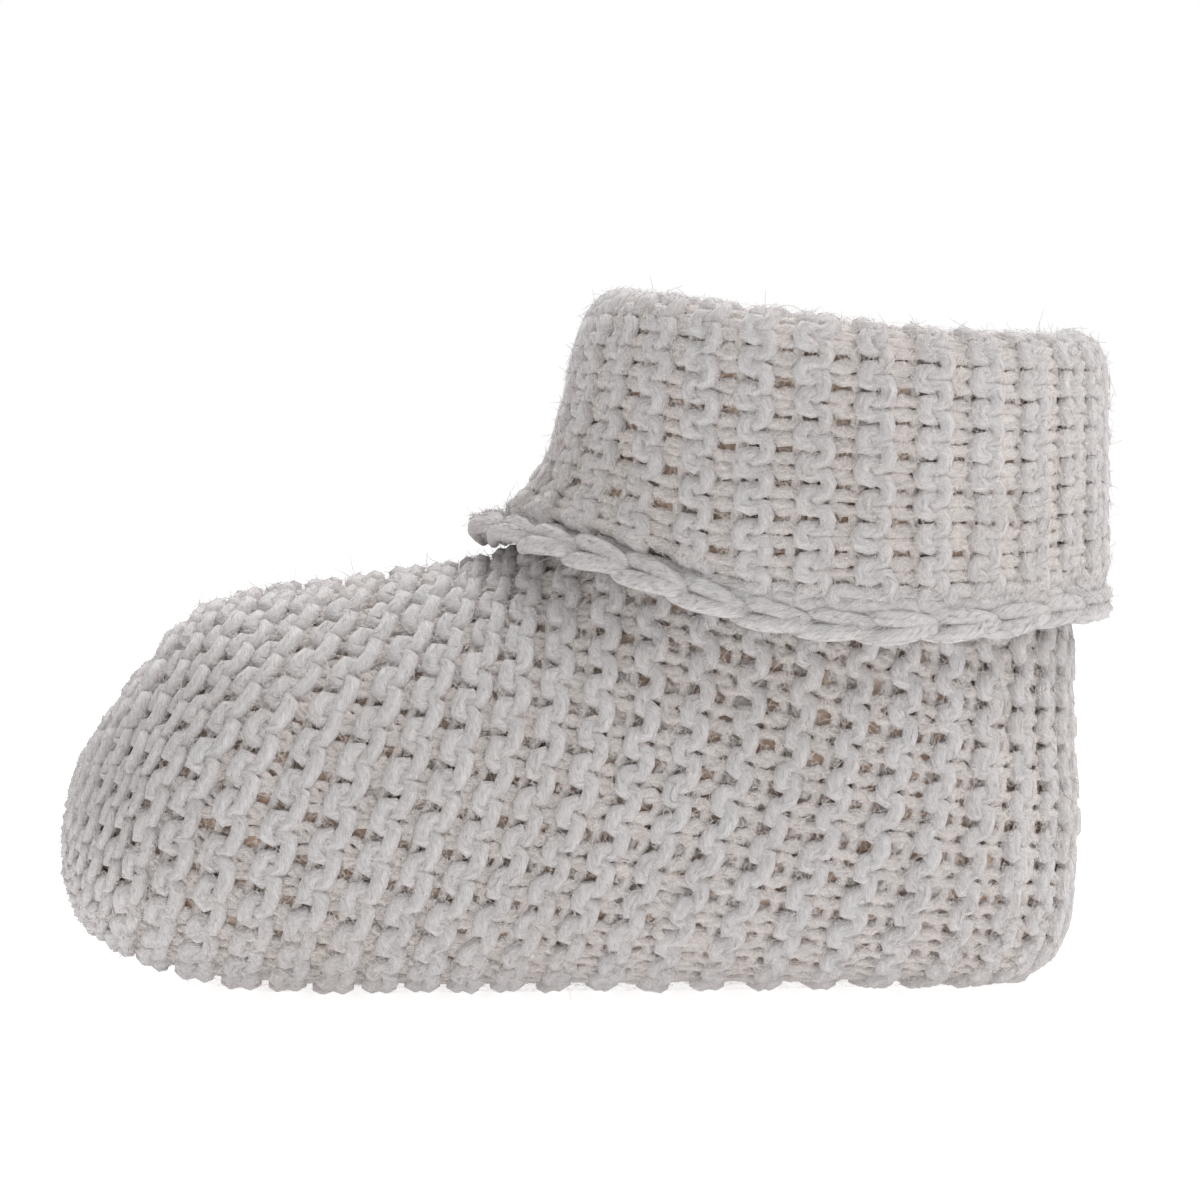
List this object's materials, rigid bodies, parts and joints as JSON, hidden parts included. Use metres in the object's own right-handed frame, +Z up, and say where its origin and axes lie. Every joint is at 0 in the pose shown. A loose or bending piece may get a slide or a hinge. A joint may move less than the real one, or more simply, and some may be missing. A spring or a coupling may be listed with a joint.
{
  "type": "knitted baby bootie",
  "caption": "Hollow knitted baby bootie in garter stitch: flat soft sole, rounded toe, round ankle shaft, turned-down cuff and a chain-stitch edge.",
  "frame": {"origin": "on the floor, under the middle of the bootie's bounding box", "axes": "+Z up, the toe points to -X, and the bootie is symmetric about the XZ plane"},
  "size_m": [0.1028, 0.0494, 0.0682],
  "materials": {
    "foot_wool": "pale oatmeal heather wool, garter stitch",
    "cuff_wool": "the same pale wool, garter stitch",
    "edge_wool": "the same pale wool, chain stitch"
  },
  "bodies": {
    "root": {"knitted_foot": "foot_wool", "turned_cuff": "cuff_wool", "chain_edge": "edge_wool"}
  },
  "joints": []
}
